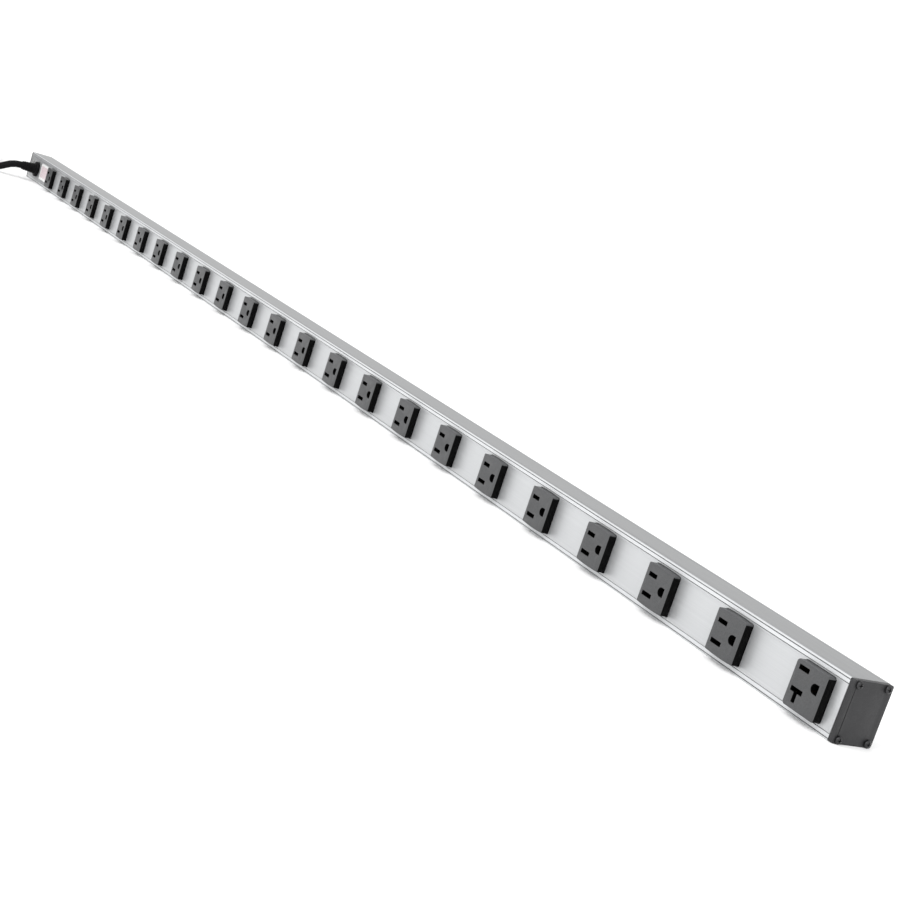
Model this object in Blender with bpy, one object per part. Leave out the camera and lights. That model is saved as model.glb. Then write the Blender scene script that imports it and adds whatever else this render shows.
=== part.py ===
"""Rack power strip: an aluminium channel with 24 receptacles, its bus bars, end caps and power cord.

The strip lies along X on its long narrow side, with the sockets facing -Y and +Z up.
The origin is under the middle of the strip's box, on the surface that it lies on.
"""

import math

import bmesh
import bpy
from mathutils import Vector

MM = 0.001

# Driving dimensions
LENGTH = 1828.8 * MM  # over both end caps, 72 inches
DEPTH = 29.0 * MM  # channel, front to back
HEIGHT = 36.5 * MM  # channel, across the socket row
WALL = 1.5 * MM
LIP = 3.65 * MM  # front lips that frame the cover
LEDGE = 4.85 * MM  # corner bosses behind the lips, which carry the cover and the cap screws
BOSS_DEPTH = 4.4 * MM
GAP = 0.3 * MM  # clearance between neighbouring pieces
CAP = 3.0 * MM
COVER = 1.5 * MM

SOCKETS = 24
PITCH = 72.6 * MM
END_MARGIN = 31.2 * MM  # last socket's slot centre to the near end
PROUD = 5.4 * MM  # sockets stand this far out of the cover

# The usual 15 A and 20 A receptacle layout
SLOT_SPACING = 12.7 * MM
GROUND_OFFSET = 11.9 * MM
SLOT_WIDTH = 2.8 * MM
LINE_SLOT = 8.2 * MM
NEUTRAL_SLOT = 9.4 * MM
GROUND_RADIUS = 2.9 * MM
T_SHIFT = 3.2 * MM  # the 20 A face sits off centre to make room for the T slot's leg

BLOCK_BACK = 7.0 * MM  # socket block, from the slot centre away from the ground hole
BLOCK_FRONT = 19.0 * MM
BLOCK_HALF = 13.3 * MM
ARCH = 0.4 * MM  # how far a 15 A block's long sides bow out
BODY_INSET = 0.35 * MM  # behind the cover the block is this much slimmer, clear of the ledges
FACE_THICKNESS = 3.0 * MM
SOCKET_REAR = 11.5 * MM  # depth of a receptacle behind the cover's face
FLANGE_REACH = 2.2 * MM

BAR = 0.8 * MM
BAR_LEVEL = 12.0 * MM
LEAF = 0.5 * MM

EXIT_FROM_SOCKET = 78.1 * MM  # strain relief, from the first socket's slot centre
CORD_DIAMETER = 9.6 * MM
FLANGE_RADIUS = 10.5 * MM
FLANGE = 4.5 * MM
SLEEVE_END = 23.0 * MM  # how far the strain relief's sleeve reaches out of the face
RELIEF_NECK = 7.8 * MM  # its neck, through the cover

HANK_RUN = 160.0 * MM
HANK_RADIUS = 43.9 * MM
HANK_HEIGHT = 48.8 * MM
TIE = 1.5 * MM
TIE_WIDTH = 20.0 * MM

# Places that follow from them
FACE = PROUD - (DEPTH + PROUD) / 2
CENTRE = HEIGHT / 2
END = LENGTH / 2
FIRST = END - END_MARGIN - (SOCKETS - 1) * PITCH
EXIT_X = FIRST - EXIT_FROM_SOCKET
HANK_EAST = -1.0
HANK_Y = -0.0934

# The cord's route, by hand: out of the sleeve, down to the floor and round to the hank
LEAD_ROUTE = [
    (-0.8647, -0.0351, 0.01825),
    (-0.8647, -0.0363, 0.01825),
    (-0.8647, -0.0437, 0.01756),
    (-0.8647, -0.0511, 0.01541),
    (-0.8647, -0.0585, 0.01152),
    (-0.8647, -0.0659, 0.00764),
    (-0.8647, -0.0733, 0.00549),
    (-0.8647, -0.0807, 0.00480),
    (-0.8658, -0.0919, 0.00480),
    (-0.8715, -0.1068, 0.00480),
    (-0.8829, -0.1203, 0.00480),
    (-0.8982, -0.1291, 0.00480),
    (-0.9156, -0.1322, 0.00480),
    (-0.9300, -0.1322, 0.00520),
    (-0.9450, -0.1322, 0.00580),
    (-0.9580, -0.1322, 0.00640),
    (-0.9717, -0.1322, 0.00660),
]
# From the hank's end loop over the lead and into the plug
TAIL_ROUTE = [
    (-0.9530, -0.0815, 0.01490),
    (-0.9390, -0.0905, 0.01240),
    (-0.9220, -0.0976, 0.01060),
    (-0.9050, -0.1028, 0.01160),
    (-0.8890, -0.1073, 0.01400),
    (-0.8730, -0.1112, 0.01500),
    (-0.8590, -0.1144, 0.01500),
    (-0.8470, -0.1166, 0.01500),
    (-0.8369, -0.1175, 0.01500),
    (-0.8353, -0.1175, 0.01500),
]
PLUG_X = -0.8350
PLUG_Y = -0.1175
PLUG_Z = 15.0 * MM

FINISHES = {
    "anodised_aluminium": ((0.55, 0.56, 0.57, 1), 0.38, 0.9),
    "brushed_cover": ((0.66, 0.67, 0.68, 1), 0.32, 0.9),
    "socket_plastic": ((0.055, 0.055, 0.057, 1), 0.45, 0.0),
    "cap_plastic": ((0.035, 0.035, 0.037, 1), 0.5, 0.0),
    "black_steel": ((0.03, 0.03, 0.03, 1), 0.35, 0.8),
    "brass": ((0.6, 0.42, 0.16, 1), 0.35, 1.0),
    "nickel": ((0.5, 0.48, 0.44, 1), 0.3, 1.0),
    "black_pvc": ((0.012, 0.012, 0.012, 1), 0.5, 0.0),
    "white_pvc": ((0.75, 0.74, 0.7, 1), 0.5, 0.0),
    "green_pvc": ((0.02, 0.25, 0.06, 1), 0.5, 0.0),
    "fishpaper": ((0.3, 0.28, 0.24, 1), 0.8, 0.0),
    "label_film": ((0.72, 0.55, 0.58, 1), 0.4, 0.0),
    "tie_fabric": ((0.02, 0.02, 0.02, 1), 0.9, 0.0),
}


def clear_scene():
    for obj in list(bpy.data.objects):
        bpy.data.objects.remove(obj, do_unlink=True)


def finish(name):
    material = bpy.data.materials.get(name)
    if material:
        return material
    colour, roughness, metallic = FINISHES[name]
    material = bpy.data.materials.new(name)
    material.use_nodes = True
    shader = material.node_tree.nodes["Principled BSDF"]
    shader.inputs["Base Color"].default_value = colour
    shader.inputs["Roughness"].default_value = roughness
    shader.inputs["Metallic"].default_value = metallic
    return material


def put(name, mesh, material, location=(0, 0, 0)):
    obj = bpy.data.objects.new(name, mesh)
    bpy.context.scene.collection.objects.link(obj)
    obj.parent = bpy.data.objects["power_strip"]
    obj.location = location
    if material:
        mesh.materials.clear()
        mesh.materials.append(finish(material))
    return obj


def mesh_from(name, bm):
    bmesh.ops.recalc_face_normals(bm, faces=bm.faces[:])
    mesh = bpy.data.meshes.new(name)
    bm.to_mesh(mesh)
    bm.free()
    return mesh


def add_prism(bm, outline, low, high, axis):
    """Adds an outline, given in the two directions across axis, drawn out from low to high."""
    spots = {
        "X": lambda a, b: (low, a, b),
        "Y": lambda a, b: (a, low, b),
        "Z": lambda a, b: (a, b, low),
    }[axis]
    face = bm.faces.new([bm.verts.new(spots(a, b)) for a, b in outline])
    grown = bmesh.ops.extrude_face_region(bm, geom=[face])["geom"]
    step = Vector([high - low if axis == letter else 0 for letter in "XYZ"])
    tips = [v for v in grown if isinstance(v, bmesh.types.BMVert)]
    bmesh.ops.translate(bm, vec=step, verts=tips)


def rectangle(low_a, high_a, low_b, high_b):
    return [(low_a, low_b), (high_a, low_b), (high_a, high_b), (low_a, high_b)]


def circle(centre_a, centre_b, radius, count=16):
    turns = [2 * math.pi * (i + 0.5) / count for i in range(count)]
    return [(centre_a + radius * math.cos(t), centre_b + radius * math.sin(t)) for t in turns]


def prisms(name, shapes):
    """One mesh of separate prisms, each given as outline, low, high and axis."""
    bm = bmesh.new()
    for shape in shapes:
        add_prism(bm, *shape)
    return mesh_from(name, bm)


def turned(name, profile, count, closed):
    """A solid about the Y axis from (radius, y) points: a closed ring, or open with both ends on the axis."""
    bm = bmesh.new()
    points = [bm.verts.new((radius, y, 0)) for radius, y in profile]
    following = points[1:] + points[:1] if closed else points[1:]
    edges = [bm.edges.new(pair) for pair in zip(points, following)]
    bmesh.ops.spin(
        bm, geom=points + edges, cent=(0, 0, 0), axis=(0, 1, 0), angle=2 * math.pi, steps=count
    )
    bmesh.ops.remove_doubles(bm, verts=bm.verts[:], dist=1e-6)
    return mesh_from(name, bm)


def combined(mesh, other, operation):
    """The mesh after one Boolean with another mesh."""
    body = put("work_body", mesh, None)
    tool = put("work_tool", other, None)
    modifier = body.modifiers.new("cut", "BOOLEAN")
    modifier.operation = operation
    modifier.object = tool
    bpy.context.view_layer.update()
    graph = bpy.context.evaluated_depsgraph_get()
    result = bpy.data.meshes.new_from_object(body.evaluated_get(graph))
    result.name = mesh.name + "_done"
    bpy.data.objects.remove(body)
    bpy.data.objects.remove(tool)
    return result


def tube(name, points, radius, material, resolution=2):
    curve = bpy.data.curves.new(name, "CURVE")
    curve.dimensions = "3D"
    curve.bevel_depth = radius
    curve.bevel_resolution = resolution
    curve.use_fill_caps = True
    spline = curve.splines.new("POLY")
    spline.points.add(len(points) - 1)
    for spot, point in zip(spline.points, points):
        spot.co = (*point, 1)
    return put(name, curve, material)


def smooth_line(route, step):
    """Points about one step apart on the smooth curve through the route's own points."""
    ends = [2 * Vector(route[0]) - Vector(route[1])]
    ends += [Vector(point) for point in route]
    ends += [2 * Vector(route[-1]) - Vector(route[-2])]
    fine = []
    for a, b, c, d in zip(ends, ends[1:], ends[2:], ends[3:]):
        slope, bend, twist = c - a, 2 * a - 5 * b + 4 * c - d, 3 * b - a - 3 * c + d
        for i in range(16):
            t = i / 16
            fine.append(b + 0.5 * (slope * t + bend * t**2 + twist * t**3))
    fine.append(ends[-2])
    lengths = [0.0]
    for a, b in zip(fine, fine[1:]):
        lengths.append(lengths[-1] + (b - a).length)
    count = max(2, round(lengths[-1] / step))
    line, at = [], 0
    for i in range(count + 1):
        want = lengths[-1] * i / count
        while at < len(fine) - 2 and lengths[at + 1] < want:
            at += 1
        share = (want - lengths[at]) / (lengths[at + 1] - lengths[at])
        line.append(fine[at].lerp(fine[at + 1], min(share, 1.0)))
    return line


def inside(depth):
    """The Y of a plane this far behind the cover's front face."""
    return FACE + depth


def socket_x(number):
    return FIRST + (number - 1) * PITCH


def screw_places():
    reach = HEIGHT / 2 - 2.45 * MM
    return [(inside(y), CENTRE + side * reach) for y in (3.9 * MM, 25.1 * MM) for side in (-1, 1)]


def make_channel():
    half, front, back = HEIGHT / 2, FACE, FACE + DEPTH
    inner, lip, ledge = half - WALL, half - LIP, half - LEDGE
    seat = front + COVER + GAP
    upper = [
        (front, half),
        (front, lip),
        (seat, lip),
        (seat, ledge),
        (seat + BOSS_DEPTH, ledge),
        (seat + BOSS_DEPTH, inner),
        (back - WALL - BOSS_DEPTH, inner),
        (back - WALL - BOSS_DEPTH, ledge),
        (back - WALL, ledge),
    ]
    lower = [(y, -z) for y, z in reversed(upper)]
    outline = upper + lower + [(back, -half), (back, half)]
    outline = [(y, z + CENTRE) for y, z in outline]
    end = END - CAP - GAP
    body = prisms("channel", [(outline, -end, end, "X")])
    deep = 12 * MM
    holes = [
        (circle(y, z, 1.5 * MM, 12), side * (end - deep), side * (end + 1 * MM), "X")
        for y, z in screw_places()
        for side in (-1, 1)
    ]
    put("channel_body", combined(body, prisms("holes", holes), "DIFFERENCE"), "anodised_aluminium")


def make_cover():
    half = HEIGHT / 2 - LIP - GAP
    end = END - CAP - GAP
    outline = rectangle(-end, end, CENTRE - half, CENTRE + half)
    plate = prisms("cover", [(outline, FACE, FACE + COVER, "Y")])
    low, high = FACE - 1 * MM, FACE + COVER + 1 * MM
    cuts = []
    for number in range(1, SOCKETS + 1):
        x = socket_x(number)
        outline = block_outline(number == SOCKETS, GAP)
        cuts.append(([(x + a, CENTRE + b) for a, b in outline], low, high, "Y"))
    cuts.append((circle(EXIT_X, CENTRE, RELIEF_NECK + 0.4 * MM, 24), low, high, "Y"))
    cuts.append((circle(*bond_place(), 1.8 * MM, 12), low, high, "Y"))
    put("front_cover", combined(plate, prisms("cover_cuts", cuts), "DIFFERENCE"), "brushed_cover")


def bond_place():
    return FIRST - 109 * MM, CENTRE + 7 * MM


def block_outline(square, extra=0.0):
    """A socket block's outline about its slot centre: arched long sides, or square for 20 A."""
    low, high, half = -BLOCK_BACK - extra, BLOCK_FRONT + extra, BLOCK_HALF + extra
    if square:
        return rectangle(low, high, -half, half)
    steps = 4
    top = []
    for i in range(steps + 1):
        share = i / steps
        top.append((high + (low - high) * share, half - ARCH * (2 * share - 1) ** 2))
    return top + [(a, -b) for a, b in reversed(top)]


def ground_outline(centre_b):
    """A D-shaped hole: round towards the slots, flat on the other side."""
    arc = []
    for i in range(7):
        turn = math.pi / 2 + math.pi * i / 6
        arc.append(
            (GROUND_OFFSET + GROUND_RADIUS * math.cos(turn), centre_b + GROUND_RADIUS * math.sin(turn))
        )
    flat = GROUND_OFFSET + GROUND_RADIUS - 0.1 * MM
    return arc + [(flat, centre_b - GROUND_RADIUS), (flat, centre_b + GROUND_RADIUS)]


def receptacle_mesh(square):
    """A receptacle about its slot centre, with Y = 0 on the cover's front face."""
    front, rear = -PROUD, SOCKET_REAR
    shift = T_SHIFT if square else 0.0
    line, neutral = SLOT_SPACING / 2 + shift, -SLOT_SPACING / 2 + shift
    block = prisms("block", [(block_outline(square), front, COVER, "Y")])
    body = prisms("body", [(block_outline(square, -BODY_INSET), COVER - 1 * MM, rear, "Y")])
    block = combined(block, body, "UNION")
    seat = COVER + GAP
    flange_half = HEIGHT / 2 - LEDGE - GAP
    flange = rectangle(
        -BLOCK_BACK - FLANGE_REACH, BLOCK_FRONT + FLANGE_REACH, -flange_half, flange_half
    )
    block = combined(block, prisms("flange", [(flange, seat, seat + 1.5 * MM, "Y")]), "UNION")

    opening, floor = front - 1 * MM, front + FACE_THICKNESS
    through, out = floor + 1 * MM, rear + 1 * MM
    slot, well = SLOT_WIDTH / 2, 2 * MM
    long_line, long_neutral, long_well = LINE_SLOT / 2, NEUTRAL_SLOT / 2, 5.5 * MM
    holes = [
        (rectangle(-long_line, long_line, line - slot, line + slot), opening, through, "Y"),
        (ground_outline(shift), opening, through, "Y"),
    ]
    back, reach = GROUND_OFFSET - 3.7 * MM, GROUND_OFFSET + 3.7 * MM
    ground_well = rectangle(back, reach, shift - 3.4 * MM, shift + 3.4 * MM)
    wells = [
        (rectangle(-long_well, long_well, line - well, line + well), floor, out, "Y"),
        (ground_well, floor, out, "Y"),
    ]
    if square:
        leg = neutral - 6.9 * MM
        tee = [
            (-long_neutral, neutral + slot),
            (-long_neutral, neutral - slot),
            (-slot, neutral - slot),
            (-slot, leg),
            (slot, leg),
            (slot, neutral - slot),
            (long_neutral, neutral - slot),
            (long_neutral, neutral + slot),
        ]
        holes.append((tee, opening, through, "Y"))
        low = leg - 0.6 * MM
    else:
        bar = rectangle(-long_neutral, long_neutral, neutral - slot, neutral + slot)
        holes.append((bar, opening, through, "Y"))
        low = neutral - well
    wells.append((rectangle(-long_well, long_well, low, neutral + well), floor, out, "Y"))
    block = combined(block, prisms("wells", wells), "DIFFERENCE")
    return combined(block, prisms("holes", holes), "DIFFERENCE")


def make_receptacles():
    common = receptacle_mesh(False)
    for number in range(1, SOCKETS):
        put(f"receptacle_{number:02d}", common, "socket_plastic", (socket_x(number), FACE, CENTRE))
    put(
        f"receptacle_{SOCKETS:02d}_20a",
        receptacle_mesh(True),
        "socket_plastic",
        (socket_x(SOCKETS), FACE, CENTRE),
    )


def leaf_pair(x, z, gap, reach, turned_round):
    """Two contact leaves about a blade's place, along the slot or, turned round, across it."""
    for side in (-1, 1):
        near, far = sorted((side * gap / 2, side * (gap / 2 + LEAF)))
        if turned_round:
            yield rectangle(x + near, x + far, z - reach, z + reach)
        else:
            yield rectangle(x - reach, x + reach, z + near, z + far)


def bus_bar(name, material, level, half, leaf_x, leaf_gap, reach, last_level, last_turned=False):
    """A flat bar behind the sockets with a pair of contact leaves standing in each socket's well."""
    low, high = inside(BAR_LEVEL), inside(BAR_LEVEL + BAR)
    start, end = FIRST - 8 * MM, socket_x(SOCKETS) + leaf_x + reach + 0.2 * MM
    height = CENTRE + level
    bar = prisms(name, [(rectangle(start, end, height - half, height + half), low, high, "Y")])
    leaves = []
    for number in range(1, SOCKETS + 1):
        last = number == SOCKETS
        z = CENTRE + last_level if last else height
        long = 0.9 * half if last and last_turned else reach
        pair = leaf_pair(socket_x(number) + leaf_x, z, leaf_gap, long, last and last_turned)
        leaves += [(outline, inside(1 * MM), high - BAR / 2, "Y") for outline in pair]
    if last_level != level:
        x, edge = end - reach - 0.2 * MM, CENTRE + last_level + leaf_gap / 2 + LEAF + 0.2 * MM
        tab = rectangle(x - reach - 0.2 * MM, end, height, edge)
        bar = combined(bar, prisms("tab", [(tab, low, high, "Y")]), "UNION")
    put(name, combined(bar, prisms("leaves", leaves), "UNION"), material)


def make_bus_bars():
    line, neutral = SLOT_SPACING / 2, -SLOT_SPACING / 2
    half, blade, reach = 1.75 * MM, 1.6 * MM, 3.4 * MM
    bus_bar("line_bus_bar", "brass", line, half, 0.0, blade, reach, line + T_SHIFT)
    bus_bar("neutral_bus_bar", "nickel", neutral, half, 0.0, blade, reach, neutral, True)
    bus_bar("ground_bus_bar", "brass", 0.0, 3.0 * MM, GROUND_OFFSET, 4.9 * MM, 2.8 * MM, T_SHIFT)


def make_liner():
    """The insulating tray between the bus bars and the channel, with a rib each side of the middle bar."""
    low = inside(BAR_LEVEL + BAR + GAP)
    start, ribs_end, end = FIRST - 10 * MM, socket_x(SOCKETS) - 5 * MM, END - CAP - 4 * MM
    half, foot = HEIGHT / 2 - WALL - 0.4 * MM, 1.6 * MM
    outline = [(low, half), (low + foot, half), (low + foot, -half), (low, -half)]
    flat = [(y, z + CENTRE) for y, z in outline]
    top, rib = low - BAR, 0.4 * MM
    for level in (-3.85 * MM, 3.85 * MM):
        outline += [(low, level - rib), (top, level - rib), (top, level + rib), (low, level + rib)]
    ribbed = [(y, z + CENTRE) for y, z in outline]
    tray = prisms("liner", [(ribbed, start, ribs_end, "X")])
    tray = combined(tray, prisms("liner_end", [(flat, ribs_end - MM, end, "X")]), "UNION")
    put("insulating_liner", tray, "fishpaper")


def make_cap(name, side):
    """A cap plate with a locating ridge that fits inside the channel."""
    outer, inner = side * END, side * (END - CAP)
    half, cut = HEIGHT / 2, 1.2 * MM
    front, back = FACE, FACE + DEPTH
    outline = [
        (front + cut, half),
        (front, half - cut),
        (front, -half + cut),
        (front + cut, -half),
        (back - cut, -half),
        (back, -half + cut),
        (back, half - cut),
        (back - cut, half),
    ]
    outline = [(y, z + CENTRE) for y, z in outline]
    plate = prisms(name, [(outline, inner, outer, "X")])
    reach = half - LEDGE - 2 * GAP
    ridge = rectangle(inside(5 * MM), inside(DEPTH - WALL - GAP), CENTRE - reach, CENTRE + reach)
    deep = side * (END - CAP - 2.5 * MM)
    plate = combined(plate, prisms("ridge", [(ridge, deep, inner + side * MM, "X")]), "UNION")
    low, high = inner - side * MM, outer + side * MM
    holes = [(circle(y, z, 1.7 * MM, 12), low, high, "X") for y, z in screw_places()]
    put(name, combined(plate, prisms("holes", holes), "DIFFERENCE"), "cap_plastic")


def screw_mesh(name, head_radius, head, shank_radius, shank):
    """A pan-head screw along -Y, its head's seat at Y = 0, with a cross recess."""
    profile = [
        (0, shank),
        (shank_radius, shank),
        (shank_radius, 0),
        (head_radius, 0),
        (head_radius, -0.55 * head),
        (0.75 * head_radius, -head),
        (0, -head),
    ]
    solid = turned(name, profile, 12, closed=False)
    arm, width = 0.62 * head_radius, 0.16 * head_radius
    cross = [
        (arm, width),
        (width, width),
        (width, arm),
        (-width, arm),
        (-width, width),
        (-arm, width),
        (-arm, -width),
        (-width, -width),
        (-width, -arm),
        (width, -arm),
        (width, -width),
        (arm, -width),
    ]
    return combined(solid, prisms("cross", [(cross, -head - MM, -0.4 * head, "Y")]), "DIFFERENCE")


def make_cap_screws():
    mesh = screw_mesh("cap_screw", 2.3 * MM, 1.5 * MM, 1.2 * MM, 11 * MM)
    for side, end in ((-1, "far"), (1, "near")):
        for number, (y, z) in enumerate(screw_places(), 1):
            place = (side * (END + GAP), y, z)
            screw = put(f"cap_screw_{end}_{number}", mesh, "black_steel", place)
            screw.rotation_euler = (0, 0, side * math.pi / 2)


def make_bond_screw():
    mesh = screw_mesh("bond_screw", 2.7 * MM, 1.6 * MM, 1.5 * MM, 8 * MM)
    x, z = bond_place()
    put("cover_bond_screw", mesh, "nickel", (x, FACE - GAP, z))


def make_strain_relief():
    bore, root, tip = 5.2 * MM, 7.4 * MM, 6.0 * MM
    seat, rear = -GAP, 6 * MM
    profile = [
        (bore, rear),
        (RELIEF_NECK, rear),
        (RELIEF_NECK, seat),
        (FLANGE_RADIUS, seat),
        (FLANGE_RADIUS, seat - 0.8 * FLANGE),
        (FLANGE_RADIUS - 0.9 * MM, seat - FLANGE),
        (root, seat - FLANGE),
        (tip, -SLEEVE_END),
        (bore, -SLEEVE_END),
    ]
    sleeve = turned("strain_relief", profile, 20, closed=True)
    put("strain_relief", sleeve, "black_pvc", (EXIT_X, FACE, CENTRE))


def make_locknut():
    low, high = inside(COVER + GAP), inside(COVER + GAP + 2.6 * MM)
    nut = prisms("locknut", [(circle(EXIT_X, CENTRE, 12.2 * MM, 6), low, high, "Y")])
    bore = circle(EXIT_X, CENTRE, RELIEF_NECK + GAP, 24)
    hole = prisms("hole", [(bore, low - MM, high + MM, "Y")])
    put("strain_relief_locknut", combined(nut, hole, "DIFFERENCE"), "black_pvc")


def make_leads():
    """The cord's three conductors, from behind the strain relief to the bus bars."""
    radius = 1.9 * MM
    start, end = inside(6.3 * MM), FIRST - 8 * MM - GAP
    level = inside(BAR_LEVEL - 1 * MM)
    leads = {
        "line_lead": (SLOT_SPACING / 2, 2.8 * MM, 1.6 * MM, "black_pvc"),
        "neutral_lead": (-SLOT_SPACING / 2, -2.8 * MM, 1.6 * MM, "white_pvc"),
        "ground_lead": (0.0, 0.0, -2.8 * MM, "green_pvc"),
    }
    for name, (height, spread, along, colour) in leads.items():
        x = EXIT_X + along
        route = [
            (x, start, CENTRE + spread),
            (x, start + 3 * MM, CENTRE + spread),
            (x + 5 * MM, start + 8 * MM, CENTRE + spread * 1.6),
            (x + 18 * MM, start + 9.5 * MM, CENTRE + 0.95 * height),
            (x + 34 * MM, level + 2 * MM, CENTRE + height),
            (end - 18 * MM, level, CENTRE + height),
            (end, level, CENTRE + height),
        ]
        tube(name, smooth_line(route, 6 * MM), radius, colour)
    x, z = bond_place()
    route = [
        (x, inside(10.4 * MM), z),
        (x, inside(13 * MM), z),
        (x + 8 * MM, inside(19 * MM), z - 1 * MM),
        (x + 26 * MM, inside(22 * MM), CENTRE),
        (x + 56 * MM, inside(21 * MM), CENTRE - 1 * MM),
        (end - 8 * MM, inside(18 * MM), CENTRE),
        (end - 1.6 * MM, inside(15.6 * MM), CENTRE),
    ]
    tube("bond_lead", smooth_line(route, 6 * MM), 1.4 * MM, "green_pvc")


def make_label():
    x, z = FIRST - 40.6 * MM, CENTRE + 0.8 * MM
    half_x, half_z = 19 * MM, 11 * MM
    outline = rectangle(x - half_x, x + half_x, z - half_z, z + half_z)
    film = prisms("label", [(outline, FACE - GAP - 0.2 * MM, FACE - GAP, "Y")])
    put("face_label", film, "label_film")


def hank_outline():
    """Round ends about the two fold centres, seen from above."""
    steps = 12
    points = []
    for centre, first in ((HANK_EAST, -math.pi / 2), (HANK_EAST - HANK_RUN, math.pi / 2)):
        for i in range(steps + 1):
            turn = first + math.pi * i / steps
            points.append((centre + HANK_RADIUS * math.cos(turn), HANK_Y + HANK_RADIUS * math.sin(turn)))
    return points


def make_cord():
    """The cord's stretches that aren't coiled start and end square to what they meet."""
    step = 1.3 * CORD_DIAMETER
    lead = [LEAD_ROUTE[0], *smooth_line(LEAD_ROUTE[1:], step)]
    tail = [*smooth_line(TAIL_ROUTE[:-1], step), TAIL_ROUTE[-1]]
    tube("cord_lead", lead, CORD_DIAMETER / 2, "black_pvc")
    tube("cord_tail", tail, CORD_DIAMETER / 2, "black_pvc")
    low = TIE + GAP
    put("cord_hank", prisms("hank", [(hank_outline(), low, low + HANK_HEIGHT, "Z")]), "black_pvc")
    half, reach = HANK_RADIUS + GAP, HANK_RADIUS + GAP + TIE
    top = low + HANK_HEIGHT + GAP
    middle = HANK_EAST - HANK_RUN / 2
    ends = (middle - TIE_WIDTH / 2, middle + TIE_WIDTH / 2)
    ring = prisms("tie", [(rectangle(HANK_Y - reach, HANK_Y + reach, 0, top + TIE), *ends, "X")])
    hole = rectangle(HANK_Y - half, HANK_Y + half, TIE, top)
    hole = prisms("tie_hole", [(hole, ends[0] - MM, ends[1] + MM, "X")])
    put("cord_tie", combined(ring, hole, "DIFFERENCE"), "tie_fabric")


def make_plug():
    """A 20 A plug: a moulded body with a ribbed neck, two blades at right angles and a ground pin."""
    neck, body, front = PLUG_X, PLUG_X + 24 * MM, PLUG_X + 62 * MM
    wide, tall, sides = 16.5 * MM, 14.7 * MM, 16
    sections = [
        (neck, 6.4 * MM, 6.4 * MM, 1.0),
        (neck + 21 * MM, 8.4 * MM, 8.4 * MM, 1.0),
        (body, 12.0 * MM, 12.0 * MM, 0.75),
        (body + 7 * MM, wide, tall, 0.75),
        (front, wide, tall, 0.75),
    ]
    bm = bmesh.new()
    rings = []
    for x, across, up, power in sections:
        ring = []
        for i in range(sides):
            turn = 2 * math.pi * (i + 0.5) / sides
            c, s = math.cos(turn), math.sin(turn)
            y = across * math.copysign(abs(c) ** power, c)
            z = up * math.copysign(abs(s) ** power, s)
            ring.append(bm.verts.new((x, PLUG_Y + y, PLUG_Z + z)))
        rings.append(ring)
    for first, second in zip(rings, rings[1:]):
        for i in range(sides):
            j = (i + 1) % sides
            bm.faces.new((first[i], first[j], second[j], second[i]))
    bm.faces.new(rings[0])
    bm.faces.new(rings[-1])
    put("plug_body", mesh_from("plug_body", bm), "black_pvc")

    start, end = front + GAP, front + 17 * MM
    line, neutral = PLUG_Y + SLOT_SPACING / 2, PLUG_Y - SLOT_SPACING / 2
    thick, width, low = 0.75 * MM, 3.2 * MM, PLUG_Z - 5.0 * MM
    blades = {
        "plug_line_blade": rectangle(line - thick, line + thick, low - width, low + width),
        "plug_neutral_blade": rectangle(neutral - width, neutral + width, low - thick, low + thick),
    }
    for name, outline in blades.items():
        put(name, prisms(name, [(outline, start, end, "X")]), "nickel")
    pin = circle(PLUG_Y, low + GROUND_OFFSET, 2.35 * MM, 12)
    put("plug_ground_pin", prisms("pin", [(pin, start, end + 3 * MM, "X")]), "nickel")


def main():
    clear_scene()
    root = bpy.data.objects.new("power_strip", None)
    bpy.context.scene.collection.objects.link(root)
    make_channel()
    make_cover()
    make_receptacles()
    make_bus_bars()
    make_liner()
    make_cap("end_cap_near", 1)
    make_cap("end_cap_far", -1)
    make_cap_screws()
    make_bond_screw()
    make_strain_relief()
    make_locknut()
    make_leads()
    make_label()
    make_cord()
    make_plug()


main()
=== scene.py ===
"""The looks of a long rack power strip: a Blender add-on layout that is run as a script.

The strip lies along X on its long narrow side, with its sockets facing -Y and +Z up, in metres.
"""

import math

import bpy
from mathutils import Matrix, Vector


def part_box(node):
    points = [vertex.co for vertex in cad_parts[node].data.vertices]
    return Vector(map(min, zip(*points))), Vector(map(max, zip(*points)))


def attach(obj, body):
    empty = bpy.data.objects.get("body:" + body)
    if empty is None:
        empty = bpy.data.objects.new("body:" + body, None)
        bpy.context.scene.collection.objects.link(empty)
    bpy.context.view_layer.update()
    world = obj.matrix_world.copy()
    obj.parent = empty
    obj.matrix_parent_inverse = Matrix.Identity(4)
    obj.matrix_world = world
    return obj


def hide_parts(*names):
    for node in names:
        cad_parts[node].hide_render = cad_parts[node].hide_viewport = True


bl_info = {
    "name": "Rack power strip",
    "version": (1, 0, 0),
    "blender": (4, 5, 0),
    "location": "View3D > Sidebar > Power strip",
    "description": "Builds the finished pieces of a rack power strip around its frame",
    "category": "Object",
}

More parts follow.
